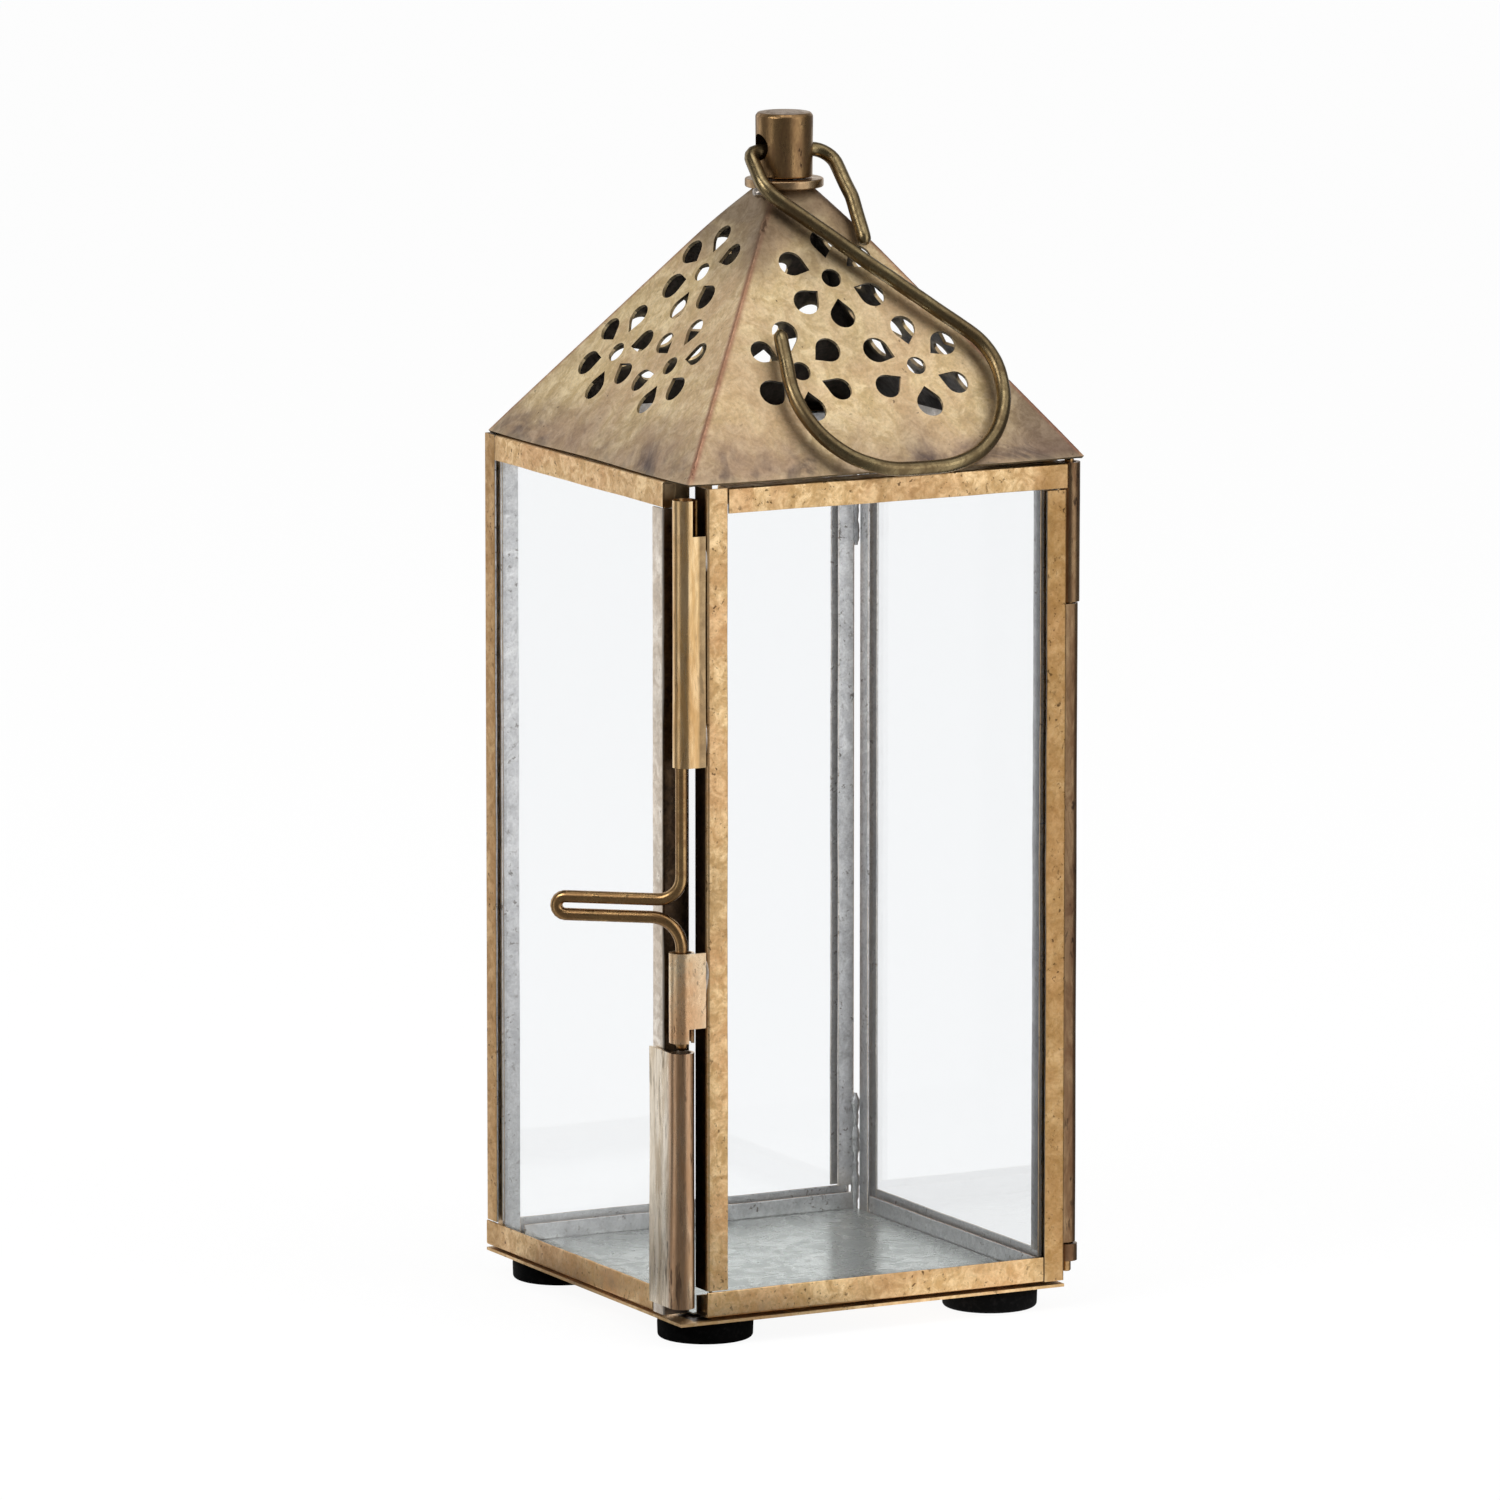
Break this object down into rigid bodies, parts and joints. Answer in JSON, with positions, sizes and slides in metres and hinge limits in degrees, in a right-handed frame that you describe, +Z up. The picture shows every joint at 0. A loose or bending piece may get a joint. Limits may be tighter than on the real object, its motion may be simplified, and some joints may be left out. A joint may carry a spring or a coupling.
{
  "type": "hanging lantern",
  "caption": "Square glazed candle lantern with a hinged door, slide bolt latch, perforated pyramid roof and a wire hanging hook.",
  "frame": {"origin": "centre of the base plate's underside", "axes": "+Z up, the door faces -Y and its hinge is at +X, the latch at -X"},
  "size_m": [0.1149, 0.0972, 0.2495],
  "materials": {
    "frame": "aged and mottled, tinned on the inside of the channels",
    "roof": "dull khaki with grey and pink heat stains",
    "fittings": "turned and worn",
    "wire": "dark drawn wire with bright highlights",
    "glass": "clear",
    "floor": "tinned sheet, pale grey-green, half reflecting",
    "feet": "matt black"
  },
  "bodies": {
    "lantern": {"back_bottom_rail": "frame", "back_glass": "glass", "back_left_stile": "frame", "back_right_stile": "frame", "back_top_rail": "frame", "base_plate": "frame", "floor_sheet": "floor", "foot_front_left": "feet", "foot_front_right": "feet", "foot_rear_left": "feet", "foot_rear_right": "feet", "frame_hinge_eye": "frame", "frame_hinge_knuckle": "frame", "hanging_stud": "fittings", "hinge_pin": "wire", "latch_socket": "frame", "left_bottom_rail": "frame", "left_front_stile": "frame", "left_glass": "glass", "left_rear_stile": "frame", "left_top_rail": "frame", "right_bottom_rail": "frame", "right_front_stile": "frame", "right_glass": "glass", "right_rear_stile": "frame", "right_top_rail": "frame", "roof_shell": "roof", "roof_tab_back": "roof", "roof_tab_left": "roof", "roof_tab_right": "roof", "stud_nut": "fittings", "stud_washer": "fittings"},
    "door": {"door_bottom_rail": "frame", "door_glass": "glass", "door_hinge_barrel": "frame", "door_hinge_stile": "frame", "door_latch_stile": "frame", "door_top_rail": "frame", "latch_lower_sleeve": "frame", "latch_upper_sleeve": "frame"},
    "bolt": {"latch_bolt": "wire"},
    "hook": {"hook_handle": "wire"}
  },
  "joints": [
    {"name": "door_hinge", "type": "hinge", "parent": "lantern", "child": "door", "pos_m": [0.0475, -0.0412, 0.0015], "axis": [0, 0, 1], "range_deg": [0, 170]},
    {"name": "latch_slide", "type": "slide", "parent": "door", "child": "bolt", "axis": [0, 0, 1], "range_m": [0, 0.02]},
    {"name": "hook_pivot", "type": "hinge", "parent": "lantern", "child": "hook", "pos_m": [0.0019, -0.001, 0.2366], "axis": [-1, 0, 0], "range_deg": [0, 260]}
  ]
}
